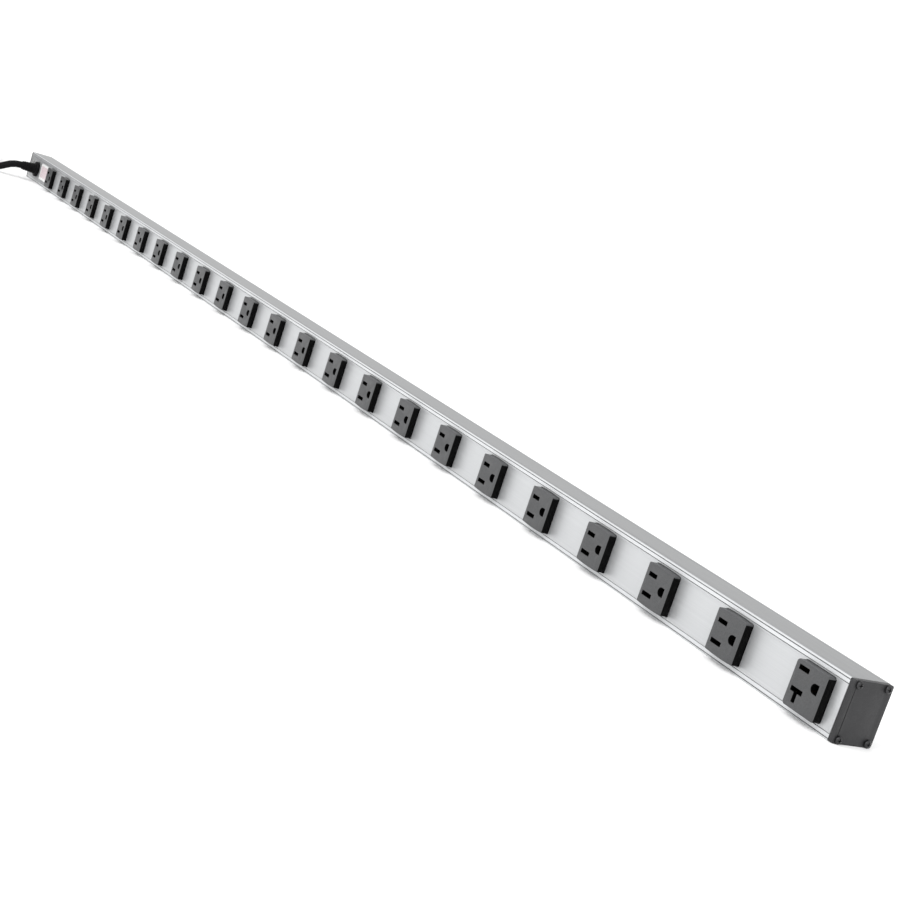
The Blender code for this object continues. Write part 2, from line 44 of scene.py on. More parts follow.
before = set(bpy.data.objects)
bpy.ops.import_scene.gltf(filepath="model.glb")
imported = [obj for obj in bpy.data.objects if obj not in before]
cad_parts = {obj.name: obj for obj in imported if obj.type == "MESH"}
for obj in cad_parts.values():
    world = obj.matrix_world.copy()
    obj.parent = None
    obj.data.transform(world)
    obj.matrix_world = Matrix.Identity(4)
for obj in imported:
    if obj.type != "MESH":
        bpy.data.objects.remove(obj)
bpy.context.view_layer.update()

MM = 0.001
BODY = "root"
CHANNEL_LOW, CHANNEL_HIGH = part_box("channel_body")
COVER_LOW, COVER_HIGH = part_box("front_cover")
FACE = COVER_LOW.y  # the plane that the sockets stand out of
BACK = CHANNEL_HIGH.y
HALF = (CHANNEL_HIGH.z - CHANNEL_LOW.z) / 2
CENTRE = (CHANNEL_HIGH.z + CHANNEL_LOW.z) / 2
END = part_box("end_cap_near")[1].x
GAP = 0.3 * MM
CAP_INNER = CHANNEL_HIGH.x + GAP
LIP_LINE = HALF - 1.2 * MM  # a fine line along each lip, from the strip's middle
GROOVE_HALF = 0.3 * MM  # half the width of the fine lines
LEDGE = 4.85 * MM  # corner bosses behind the lips, from the channel's outside
BOSS_DEPTH = 4.4 * MM
WALL = 1.5 * MM
SIDE_LINES = (FACE + 2.6 * MM, FACE + 4.0 * MM, BACK - 3.0 * MM)
SCREW_HOLE = 1.4 * MM
SCREW_HOLE_DEPTH = 12 * MM
CAP_CORNER = 1.3 * MM
CAP_HOLE = 1.5 * MM
CAP_LINE = 2.3 * MM  # a fine line across each cap, from its front edge
CAP_LINE_WIDTH = 0.45 * MM
RIDGE_FRONT = FACE + 5 * MM
RIDGE_BACK = BACK - 1.8 * MM
RIDGE_HALF = HALF - 5.45 * MM
INK = 0.04 * MM  # how far the label's print stands out of it
SOCKETS = sorted(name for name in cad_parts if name.startswith("receptacle_"))

# A receptacle, measured from the middle of its slots
BLOCK_BACK = 7.0 * MM
BLOCK_FRONT = 19.0 * MM
BLOCK_HALF = 13.3 * MM
ARCH = 0.4 * MM
BODY_INSET = 0.35 * MM
SOCKET_CORNER = 0.9 * MM
CUT_CORNER = 1.2 * MM
FACE_THICKNESS = 3 * MM
FLANGE_THICKNESS = 1.5 * MM
WELL_HALF = 2 * MM
LONG_WELL_HALF = 5.5 * MM
GROUND_WELL = (3.7 * MM, 3.4 * MM)
FLANGE_REACH = 2.2 * MM
SLOT_SPACING = 12.7 * MM
SLOT_WIDTH = 2.8 * MM
LINE_SLOT = 8.2 * MM
NEUTRAL_SLOT = 9.4 * MM
GROUND_OFFSET = 11.9 * MM
GROUND_RADIUS = 2.9 * MM
T_SHIFT = 3.2 * MM
T_LEG = 6.9 * MM

CAMERA_PLACE = (1.50718, -0.64977, 0.22828)
CAMERA_TURN = (79.695, -18.172, 61.980)
CAMERA_LENS = 66.075
SKY_STRENGTH = 1.08

# The cord, with the same route as its solids have
CORD_DIAMETER = 9.6 * MM
CORD_STEP = 6 * MM
PLUG_NECK = 22 * MM
STRAP_THICKNESS = 1.3 * MM
STRAP_CORNER = 7 * MM
HANK_EAST = -1.0
HANK_RUN = 160 * MM
HANK_Y = -93.4 * MM
HANK_OUTER = 38.8 * MM
HANK_INNER = 29.0 * MM
HANK_FLOOR = 6.6 * MM
LAYER = 9.7 * MM
OUTER_LAYER = 9.64 * MM
INNER_LAPS = 4
OUTER_LAPS = 3
LEAD_ROUTE = [
    (-0.8647, -0.0200, 0.01825),
    (-0.8647, -0.0275, 0.01825),
    (-0.8647, -0.0351, 0.01825),
    (-0.8647, -0.0437, 0.01756),
    (-0.8647, -0.0511, 0.01541),
    (-0.8647, -0.0585, 0.01152),
    (-0.8647, -0.0659, 0.00764),
    (-0.8647, -0.0733, 0.00549),
    (-0.8647, -0.0807, 0.00480),
    (-0.8658, -0.0919, 0.00480),
    (-0.8715, -0.1068, 0.00480),
    (-0.8829, -0.1203, 0.00480),
    (-0.8982, -0.1291, 0.00480),
    (-0.9156, -0.1322, 0.00480),
    (-0.9300, -0.1322, 0.00520),
    (-0.9450, -0.1322, 0.00580),
    (-0.9580, -0.1322, 0.00640),
    (-0.9717, -0.1322, 0.00660),
]
TAIL_ROUTE = [
    (-0.9530, -0.0815, 0.01490),
    (-0.9390, -0.0905, 0.01240),
    (-0.9220, -0.0976, 0.01060),
    (-0.9050, -0.1028, 0.01160),
    (-0.8890, -0.1073, 0.01400),
    (-0.8730, -0.1112, 0.01500),
    (-0.8590, -0.1144, 0.01500),
    (-0.8470, -0.1166, 0.01500),
    (-0.8353, -0.1175, 0.01500),
    (-0.8320, -0.1175, 0.01500),
]


def length_property(name, description, default, low, high):
    """A length setting, given in millimetres."""
    return bpy.props.FloatProperty(
        name=name,
        description=description,
        default=default * MM,
        min=low * MM,
        max=high * MM,
        subtype="DISTANCE",
        unit="LENGTH",
    )


def colour_property(name, description, default):
    return bpy.props.FloatVectorProperty(
        name=name, description=description, default=default, min=0.0, max=1.0, subtype="COLOR", size=3
    )


class StripSizes(bpy.types.PropertyGroup):
    """Sizes of the strip's finer details."""

    edge_round: length_property(
        "Channel edge", "Radius of the channel's long outer edges", 0.8, 0.1, 1.2
    )
    groove_depth: length_property(
        "Groove depth", "Depth of the fine lines along the channel", 0.4, 0.0, 0.6
    )
    socket_edge: length_property("Socket edge", "Rounding of the socket blocks' edges", 0.35, 0.1, 0.6)
    cap_edge: length_property("Cap edge", "Rounding of the end caps' edges", 0.35, 0.1, 0.6)
    label_border: length_property("Label border", "Width of the label's white border", 3.0, 1.0, 5.0)


class StripColours(bpy.types.PropertyGroup):
    """Colours of the strip's finishes."""

    aluminium: colour_property("Aluminium", "Anodised channel and cover", (0.60, 0.61, 0.62))
    sockets: colour_property("Sockets", "Moulded receptacles", (0.051, 0.052, 0.054))
    caps: colour_property("End caps", "Moulded end caps", (0.021, 0.021, 0.0225))
    cord: colour_property("Cord", "Cord jacket, plug and strain relief", (0.004, 0.004, 0.0045))
    label: colour_property("Label", "Printed middle of the label", (0.68, 0.58, 0.60))


# ---- modelling by hand ----


def deselect_all():
    for obj in bpy.context.selected_objects:
        obj.select_set(False)


def use(obj):
    """Makes this the one selected object, and the active one."""
    deselect_all()
    obj.select_set(True)
    bpy.context.view_layer.objects.active = obj


def apply_place(obj):
    use(obj)
    bpy.ops.object.transform_apply(location=True, rotation=True, scale=True)


def select_faces(obj, wanted):
    """Selects, in edit mode, the faces whose centre and normal pass the test."""
    bpy.ops.mesh.select_all(action="DESELECT")
    bpy.ops.object.mode_set(mode="OBJECT")
    for face in obj.data.polygons:
        face.select = wanted(face.center, face.normal)
    bpy.ops.object.mode_set(mode="EDIT")
    bpy.ops.mesh.select_mode(type="FACE")


def add_block(name, low, high):
    low, high = Vector(low), Vector(high)
    deselect_all()
    bpy.ops.mesh.primitive_cube_add(size=1, location=(low + high) / 2, scale=high - low)
    obj = bpy.context.active_object
    obj.name = name
    apply_place(obj)
    return obj


def draw_line(name, points):
    """Draws a line from point to point, from a single vertex on, and leaves it selected in edit mode."""
    points = [Vector(point) for point in points]
    deselect_all()
    bpy.ops.mesh.primitive_plane_add(size=MM, location=points[0])
    obj = bpy.context.active_object
    obj.name = name
    apply_place(obj)
    bpy.ops.object.mode_set(mode="EDIT")
    bpy.ops.mesh.select_mode(type="VERT")
    bpy.ops.mesh.select_all(action="SELECT")
    bpy.ops.mesh.merge(type="CENTER")
    for start, end in zip(points, points[1:]):
        bpy.ops.mesh.extrude_vertices_move(TRANSFORM_OT_translate={"value": end - start})
    bpy.ops.mesh.select_all(action="SELECT")
    return obj


def turn_normals_out():
    bpy.ops.mesh.select_all(action="SELECT")
    bpy.ops.mesh.remove_doubles(threshold=1e-6)
    bpy.ops.mesh.normals_make_consistent(inside=False)
    bpy.ops.object.mode_set(mode="OBJECT")


def draw_prism(name, outline, way):
    """Draws a closed outline, fills it and draws it out."""
    obj = draw_line(name, outline)
    bpy.ops.mesh.edge_face_add()
    bpy.ops.mesh.extrude_region_move(TRANSFORM_OT_translate={"value": way})
    turn_normals_out()
    return obj


def draw_turned(name, profile, steps, closed=False):
    """Turns a profile of (radius, y) points about the Y axis."""
    obj = draw_line(name, [(radius, y, 0) for radius, y in profile])
    if closed:
        bpy.ops.mesh.edge_face_add()
        bpy.ops.mesh.delete(type="ONLY_FACE")
        bpy.ops.mesh.select_all(action="SELECT")
    bpy.ops.mesh.spin(steps=steps, angle=2 * math.pi, center=(0, 0, 0), axis=(0, 1, 0))
    turn_normals_out()
    return obj


def finish_modifier(obj, name):
    use(obj)
    bpy.ops.object.modifier_apply(modifier=name)


def combine(obj, operation, *tools):
    """Adds the tools to the piece, or cuts them from it, and removes them."""
    for tool in tools:
        modifier = obj.modifiers.new("combine", "BOOLEAN")
        modifier.operation = operation
        modifier.object = tool
        finish_modifier(obj, "combine")
        bpy.data.objects.remove(tool, do_unlink=True)


def joined(objects):
    use(objects[0])
    for obj in objects:
        obj.select_set(True)
    if len(objects) > 1:
        bpy.ops.object.join()
    return bpy.context.active_object


def soften(obj, width, segments, angle=30):
    """Rounds the sharp edges, and shades the rest smooth."""
    modifier = obj.modifiers.new("edges", "BEVEL")
    modifier.width = width
    modifier.segments = segments
    modifier.limit_method = "ANGLE"
    modifier.angle_limit = math.radians(angle)
    finish_modifier(obj, "edges")
    shade(obj)


def shade(obj, angle=35):
    use(obj)
    bpy.ops.object.shade_smooth_by_angle(angle=math.radians(angle))


def copy_of(obj, name, shift):
    """A copy with its own mesh, moved by shift."""
    use(obj)
    bpy.ops.object.duplicate(linked=False)
    twin = bpy.context.active_object
    twin.name = name
    twin.location = shift
    apply_place(twin)
    return twin


def settle(obj, node, material):
    """Names the piece after the node that it stands for, and takes over its body and slot."""
    obj.name = obj.data.name = "seen_" + node
    obj.data.materials.clear()
    obj.data.materials.append(material)
    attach(obj, BODY)
    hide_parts(node)
    return obj


def face_with(obj, material, wanted):
    """Gives the faces whose centre and normal pass the test a second material."""
    obj.data.materials.append(material)
    for face in obj.data.polygons:
        if wanted(face.center, face.normal):
            face.material_index = len(obj.data.materials) - 1


def rectangle(low_a, high_a, low_b, high_b):
    return [(low_a, low_b), (high_a, low_b), (high_a, high_b), (low_a, high_b)]


def arc(centre_a, centre_b, radius, start, end, steps):
    """Points of an arc, with its angles in degrees."""
    points = []
    for i in range(steps + 1):
        turn = math.radians(start + (end - start) * i / steps)
        points.append((centre_a + radius * math.cos(turn), centre_b + radius * math.sin(turn)))
    return points


def circle(radius, sides):
    return arc(0, 0, radius, 0, 360 - 360 / sides, sides - 1)


def rounded_rectangle(low_a, high_a, low_b, high_b, radius, steps):
    corners = [
        (high_a - radius, high_b - radius, 0),
        (low_a + radius, high_b - radius, 90),
        (low_a + radius, low_b + radius, 180),
        (high_a - radius, low_b + radius, 270),
    ]
    points = []
    for a, b, start in corners:
        points += arc(a, b, radius, start, start + 90, steps)
    return points


# ---- finishes ----


def new_group(name, inputs, outputs):
    """A shader node group with these sockets, and its tree's input and output nodes."""
    tree = bpy.data.node_groups.new(name, "ShaderNodeTree")
    for socket, kind, value in inputs:
        made = tree.interface.new_socket(socket, in_out="INPUT", socket_type=kind)
        if value is not None:
            made.default_value = value
    for socket, kind in outputs:
        tree.interface.new_socket(socket, in_out="OUTPUT", socket_type=kind)
    return tree, tree.nodes.new("NodeGroupInput"), tree.nodes.new("NodeGroupOutput")


def maths(tree, operation, first, second):
    """A Math node of sockets or numbers, and its result."""
    node = tree.nodes.new("ShaderNodeMath")
    node.operation = operation
    for slot, value in enumerate((first, second)):
        if isinstance(value, (int, float)):
            node.inputs[slot].default_value = value
        else:
            tree.links.new(value, node.inputs[slot])
    return node.outputs[0]


def noise(tree, vector, scale, detail, roughness=0.5):
    node = tree.nodes.new("ShaderNodeTexNoise")
    node.inputs["Detail"].default_value = detail
    node.inputs["Roughness"].default_value = roughness
    tree.links.new(vector, node.inputs["Vector"])
    if isinstance(scale, (int, float)):
        node.inputs["Scale"].default_value = scale
    else:
        tree.links.new(scale, node.inputs["Scale"])
    return node.outputs["Fac"]


def stretched(tree, vector, scale):
    node = tree.nodes.new("ShaderNodeMapping")
    node.inputs["Scale"].default_value = scale
    tree.links.new(vector, node.inputs["Vector"])
    return node.outputs["Vector"]


def grain_group():
    """Fine lines drawn along X, as a die and a brush leave them on an extrusion."""
    tree = bpy.data.node_groups.get("drawn_grain")
    if tree:
        return tree
    tree, inside, outside = new_group(
        "drawn_grain",
        [("Vector", "NodeSocketVector", None), ("Fineness", "NodeSocketFloat", 1.0)],
        [("Lines", "NodeSocketFloat"), ("Blotches", "NodeSocketFloat")],
    )
    vector, fineness = inside.outputs["Vector"], inside.outputs["Fineness"]
    fine = noise(tree, stretched(tree, vector, (7, 2600, 2600)), fineness, 3)
    broad = noise(tree, stretched(tree, vector, (2.5, 650, 650)), fineness, 2)
    lines = maths(tree, "ADD", maths(tree, "MULTIPLY", fine, 0.65), maths(tree, "MULTIPLY", broad, 0.35))
    tree.links.new(lines, outside.inputs["Lines"])
    blotches = noise(tree, stretched(tree, vector, (9, 40, 40)), 1.0, 4)
    tree.links.new(blotches, outside.inputs["Blotches"])
    return tree


def moulding_group():
    """The fine spark-eroded texture of moulded plastic, with broader clouding and a little dust."""
    tree = bpy.data.node_groups.get("moulded_texture")
    if tree:
        return tree
    tree, inside, outside = new_group(
        "moulded_texture",
        [("Vector", "NodeSocketVector", None), ("Size", "NodeSocketFloat", 1.0)],
        [("Pits", "NodeSocketFloat"), ("Clouds", "NodeSocketFloat"), ("Dust", "NodeSocketFloat")],
    )
    scale = maths(tree, "DIVIDE", 3800.0, inside.outputs["Size"])
    pits = noise(tree, inside.outputs["Vector"], scale, 2)
    clouds = noise(tree, inside.outputs["Vector"], 160.0, 5, 0.6)
    specks = noise(tree, inside.outputs["Vector"], 1500.0, 1)
    dust = maths(tree, "MULTIPLY", maths(tree, "GREATER_THAN", specks, 0.72), clouds)
    tree.links.new(pits, outside.inputs["Pits"])
    tree.links.new(clouds, outside.inputs["Clouds"])
    tree.links.new(dust, outside.inputs["Dust"])
    return tree


def new_material(name):
    """A material with a Principled BSDF and object coordinates."""
    material = bpy.data.materials.new(name)
    material.use_nodes = True
    tree = material.node_tree
    coordinates = tree.nodes.new("ShaderNodeTexCoord")
    return material, tree, tree.nodes["Principled BSDF"], coordinates.outputs["Object"]


def place_group(tree, group, vector, **values):
    node = tree.nodes.new("ShaderNodeGroup")
    node.node_tree = group
    tree.links.new(vector, node.inputs["Vector"])
    for name, value in values.items():
        node.inputs[name].default_value = value
    return node


def blend_colours(tree, share, first, second):
    node = tree.nodes.new("ShaderNodeMix")
    node.data_type = "RGBA"
    tree.links.new(share, node.inputs["Factor"])
    for socket, colour in (("A", first), ("B", second)):
        slot = [item for item in node.inputs if item.name == socket and item.type == "RGBA"][0]
        if isinstance(colour, bpy.types.NodeSocket):
            tree.links.new(colour, slot)
        else:
            slot.default_value = (*colour, 1)
    return [item for item in node.outputs if item.type == "RGBA"][0]


def spread(tree, value, low, high, out_low, out_high):
    node = tree.nodes.new("ShaderNodeMapRange")
    tree.links.new(value, node.inputs["Value"])
    for name, number in (("From Min", low), ("From Max", high), ("To Min", out_low), ("To Max", out_high)):
        node.inputs[name].default_value = number
    return node.outputs["Result"]


def raise_bump(tree, shader, height, strength, distance):
    bump = tree.nodes.new("ShaderNodeBump")
    bump.inputs["Strength"].default_value = strength
    bump.inputs["Distance"].default_value = distance
    tree.links.new(height, bump.inputs["Height"])
    tree.links.new(bump.outputs["Normal"], shader.inputs["Normal"])


def shaded(colour, factor):
    return tuple(min(1.0, part * factor) for part in colour)


def drawn_metal(name, colour, roughness, fineness, contrast, metallic=1.0, strength=0.35):
    """Metal with a lengthwise grain."""
    material, tree, shader, vector = new_material(name)
    grain = place_group(tree, grain_group(), vector, Fineness=fineness)
    tone = spread(tree, grain.outputs["Lines"], 0.35, 0.65, 0.0, 1.0)
    base = blend_colours(tree, tone, shaded(colour, 1 - contrast), shaded(colour, 1 + contrast))
    cloud = spread(tree, grain.outputs["Blotches"], 0.3, 0.7, 0.0, 0.25)
    base = blend_colours(tree, cloud, base, shaded(colour, 0.9))
    tree.links.new(base, shader.inputs["Base Color"])
    tree.links.new(
        spread(tree, grain.outputs["Lines"], 0.3, 0.7, roughness - 0.06, roughness + 0.08),
        shader.inputs["Roughness"],
    )
    shader.inputs["Metallic"].default_value = metallic
    raise_bump(tree, shader, grain.outputs["Lines"], strength, 0.02 * MM)
    return material


def moulded_plastic(name, colour, roughness, size, specular=0.5, strength=0.3, depth=0.03 * MM):
    """Satin plastic or rubber from a textured mould."""
    material, tree, shader, vector = new_material(name)
    texture = place_group(tree, moulding_group(), vector, Size=size)
    tone = spread(tree, texture.outputs["Pits"], 0.35, 0.65, 0.0, 1.0)
    base = blend_colours(tree, tone, shaded(colour, 0.72), shaded(colour, 1.3))
    cloud = spread(tree, texture.outputs["Clouds"], 0.35, 0.7, 0.0, 0.3)
    base = blend_colours(tree, cloud, base, shaded(colour, 1.15))
    dust = maths(tree, "MULTIPLY", texture.outputs["Dust"], 0.05)
    base = blend_colours(tree, dust, base, (0.5, 0.48, 0.45))
    tree.links.new(base, shader.inputs["Base Color"])
    tree.links.new(
        spread(tree, texture.outputs["Clouds"], 0.3, 0.7, roughness - 0.05, roughness + 0.08),
        shader.inputs["Roughness"],
    )
    shader.inputs["Specular IOR Level"].default_value = specular
    raise_bump(tree, shader, texture.outputs["Pits"], strength, depth)
    return material


def finish_of(name):
    """The named finish, made the first time that it is asked for."""
    made = bpy.data.materials.get(name)
    if made:
        return made
    colours = bpy.context.scene.strip_colours
    aluminium, sockets, caps = tuple(colours.aluminium), tuple(colours.sockets), tuple(colours.caps)
    cord, label = tuple(colours.cord), tuple(colours.label)
    recipes = {
        # Painted shade: the channel's top, back, sides and lip grooves at about half the aluminium's
        # brightness.
        "brushed_sides": (drawn_metal, shaded(aluminium, 0.47), 0.38, 1.0, 0.2, 0.75),
        # Painted highlight: the channel's front lips and rounded front edge, lighter than the cover.
        "bright_lips": (drawn_metal, shaded(aluminium, 1.06), 0.36, 1.0, 0.06, 0.5, 0.15),
        "anodised_cover": (drawn_metal, shaded(aluminium, 0.88), 0.42, 1.4, 0.05, 0.55, 0.15),
        "socket_face": (moulded_plastic, sockets, 0.42, 1.2, 0.5, 0.35),
        # Painted shade: the socket blocks' sides, slot walls and slot edges, near black.
        "socket_sides": (moulded_plastic, shaded(sockets, 0.04), 0.4, 1.0, 0.05, 0.1),
        "cap_plastic": (moulded_plastic, caps, 0.5, 1.6, 0.4, 0.4, 0.05 * MM),
        "cord_jacket": (moulded_plastic, cord, 0.46, 2.0, 0.1, 0.25),
        "plug_rubber": (moulded_plastic, shaded(cord, 1.4), 0.5, 2.4, 0.25, 0.4),
        "black_nylon": (moulded_plastic, shaded(cord, 1.2), 0.4, 1.6, 0.08),
        "black_steel": (drawn_metal, (0.05, 0.05, 0.052), 0.32, 2.0, 0.25, 0.9),
        "zinc_steel": (drawn_metal, (0.45, 0.45, 0.44), 0.3, 2.0, 0.12),
        "nickel": (drawn_metal, (0.62, 0.58, 0.52), 0.24, 1.5, 0.08),
        "rolled_brass": (drawn_metal, (0.72, 0.50, 0.20), 0.28, 1.0, 0.12),
        "insulating_board": (moulded_plastic, (0.33, 0.30, 0.25), 0.8, 4.0, 0.2, 0.5, 0.1 * MM),
        "black_insulation": (moulded_plastic, (0.015, 0.015, 0.015), 0.4, 2.0),
        "white_insulation": (moulded_plastic, (0.72, 0.71, 0.67), 0.4, 2.0),
        "green_insulation": (moulded_plastic, (0.02, 0.22, 0.06), 0.4, 2.0),
        "label_white": (moulded_plastic, (0.86, 0.86, 0.85), 0.35, 2.0, 0.4, 0.05),
        "label_print": (moulded_plastic, label, 0.35, 2.0, 0.4, 0.05),
        "strap_weave": (woven_strap,),
    }
    maker, *values = recipes[name]
    return maker(name, *values)


def woven_strap(name):
    """Black hook-and-loop strap with a fine weave."""
    material, tree, shader, vector = new_material(name)
    wave = tree.nodes.new("ShaderNodeTexWave")
    wave.bands_direction = "X"
    wave.inputs["Scale"].default_value = 420.0
    wave.inputs["Distortion"].default_value = 1.5
    wave.inputs["Detail"].default_value = 1.0
    tree.links.new(vector, wave.inputs["Vector"])
    fuzz = noise(tree, vector, 2600.0, 3)
    height = maths(tree, "ADD", maths(tree, "MULTIPLY", wave.outputs["Fac"], 0.5), fuzz)
    base = blend_colours(tree, fuzz, (0.004, 0.004, 0.004), (0.018, 0.018, 0.019))
    tree.links.new(base, shader.inputs["Base Color"])
    shader.inputs["Roughness"].default_value = 0.9
    shader.inputs["Sheen Weight"].default_value = 0.3
    raise_bump(tree, shader, height, 0.7, 0.15 * MM)
    return material


# ---- stage ----


class STRIP_OT_stage(bpy.types.Operator):
    """Makes the camera, the lights, the sky and the pale floor."""

    bl_idname = "strip.stage"
    bl_label = "Stage"

    def execute(self, context):
        deselect_all()
        turn = [math.radians(angle) for angle in CAMERA_TURN]
        bpy.ops.object.camera_add(location=CAMERA_PLACE, rotation=turn)
        camera = context.active_object
        camera.name = "camera"
        camera.data.lens = CAMERA_LENS
        camera.data.clip_end = 200
        context.scene.camera = camera

        floor = add_block("floor", (-40, -40, -0.02), (40, 40, 0))
        paper, tree, shader, vector = new_material("paper_floor")
        clouds = noise(tree, vector, 0.6, 2)
        white = blend_colours(tree, clouds, (0.96, 0.96, 0.96), (0.99, 0.99, 0.99))
        tree.links.new(white, shader.inputs["Base Color"])
        shader.inputs["Roughness"].default_value = 0.9
        shader.inputs["Specular IOR Level"].default_value = 0.1
        floor.data.materials.append(paper)

        world = bpy.data.worlds.new("soft_sky")
        world.use_nodes = True
        sky = world.node_tree.nodes["Background"]
        sky.inputs["Color"].default_value = (1, 1, 1, 1)
        sky.inputs["Strength"].default_value = SKY_STRENGTH
        context.scene.world = world
        self.add_softbox("key_light", (0.3, -2.2, 2.2), (50, 0, 8), 2.4, 40)
        self.add_softbox("fill_light", (2.6, -0.8, 1.4), (58, 0, 72), 1.6, 14)
        context.scene.view_settings.view_transform = "Standard"
        return {"FINISHED"}

    def add_softbox(self, name, place, turn, size, power):
        turn = [math.radians(angle) for angle in turn]
        bpy.ops.object.light_add(type="AREA", location=place, rotation=turn)
        light = bpy.context.active_object
        light.name = name
        light.data.size = size
        light.data.energy = power


# ---- cord ----


def smooth_line(route, step):
    """Points about one step apart on the smooth curve through the route's own points."""
    ends = [2 * Vector(route[0]) - Vector(route[1])]
    ends += [Vector(point) for point in route]
    ends += [2 * Vector(route[-1]) - Vector(route[-2])]
    line = []
    for a, b, c, d in zip(ends, ends[1:], ends[2:], ends[3:]):
        slope, bend, twist = c - a, 2 * a - 5 * b + 4 * c - d, 3 * b - a - 3 * c + d
        count = max(1, round((c - b).length / step))
        for i in range(count):
            t = i / count
            line.append(b + 0.5 * (slope * t + bend * t**2 + twist * t**3))
    line.append(ends[-2])
    return line


def hank_run(heading, start_radius, end_radius, level, drop, start_x=None):
    """A straight run of the hank, which may change its column and its level on the way."""
    first, last = (HANK_EAST, HANK_EAST - HANK_RUN) if heading < 0 else (HANK_EAST - HANK_RUN, HANK_EAST)
    first = first if start_x is None else start_x
    steps = 20
    points = []
    for i in range(1, steps + 1):
        share = i / steps
        ease = (1 - math.cos(math.pi * share)) / 2
        radius = start_radius + (end_radius - start_radius) * ease
        points.append(
            Vector((first + (last - first) * share, HANK_Y + heading * radius, level + drop * share))
        )
    return points


def hank_loop(east, radius, level, drop, share=1.0):
    """An end loop of the hank, turning clockwise as seen from above."""
    centre = HANK_EAST if east else HANK_EAST - HANK_RUN
    first = math.pi / 2 if east else -math.pi / 2
    steps = max(4, round(18 * share))
    points = []
    for i in range(1, steps + 1):
        turn = first - math.pi * share * i / steps
        x, y = centre + radius * math.cos(turn), HANK_Y + radius * math.sin(turn)
        points.append(Vector((x, y, level + drop * i / steps)))
    return points


def hank_lap(radius, level, rise, next_radius):
    """A lap: east loop, south run and west loop, which climb or fall, then a level north run."""
    loop, run = math.pi * radius, HANK_RUN
    slope = rise / (2 * loop + run)
    points = hank_loop(True, radius, level, slope * loop)
    level += slope * loop
    points += hank_run(-1, radius, radius, level, slope * run)
    level += slope * run
    points += hank_loop(False, radius, level, slope * loop)
    level += slope * loop
    return points + hank_run(1, radius, next_radius, level, 0.0)


def cord_line():
    """The whole cord: its lead, a lap on the floor, the inner laps up, the outer laps down, its tail."""
    line = smooth_line(LEAD_ROUTE, CORD_STEP)
    line += hank_run(-1, HANK_OUTER, HANK_OUTER, HANK_FLOOR, 0.0, LEAD_ROUTE[-1][0])
    line += hank_loop(False, HANK_OUTER, HANK_FLOOR, 0.0)
    line += hank_run(1, HANK_OUTER, HANK_INNER, HANK_FLOOR, 0.0)
    level = HANK_FLOOR
    for lap in range(INNER_LAPS):
        last = lap == INNER_LAPS - 1
        line += hank_lap(HANK_INNER, level, LAYER, HANK_OUTER if last else HANK_INNER)
        level += LAYER
    for lap in range(OUTER_LAPS):
        line += hank_lap(HANK_OUTER, level, -OUTER_LAYER, HANK_OUTER)
        level -= OUTER_LAYER
    line += hank_loop(True, HANK_OUTER, level, -0.4 * MM, 0.25)
    bridge = smooth_line([line[-2], line[-1], *TAIL_ROUTE], CORD_STEP)
    skip = max(1, round((line[-1] - line[-2]).length / CORD_STEP))
    return line + bridge[skip + 1 :]


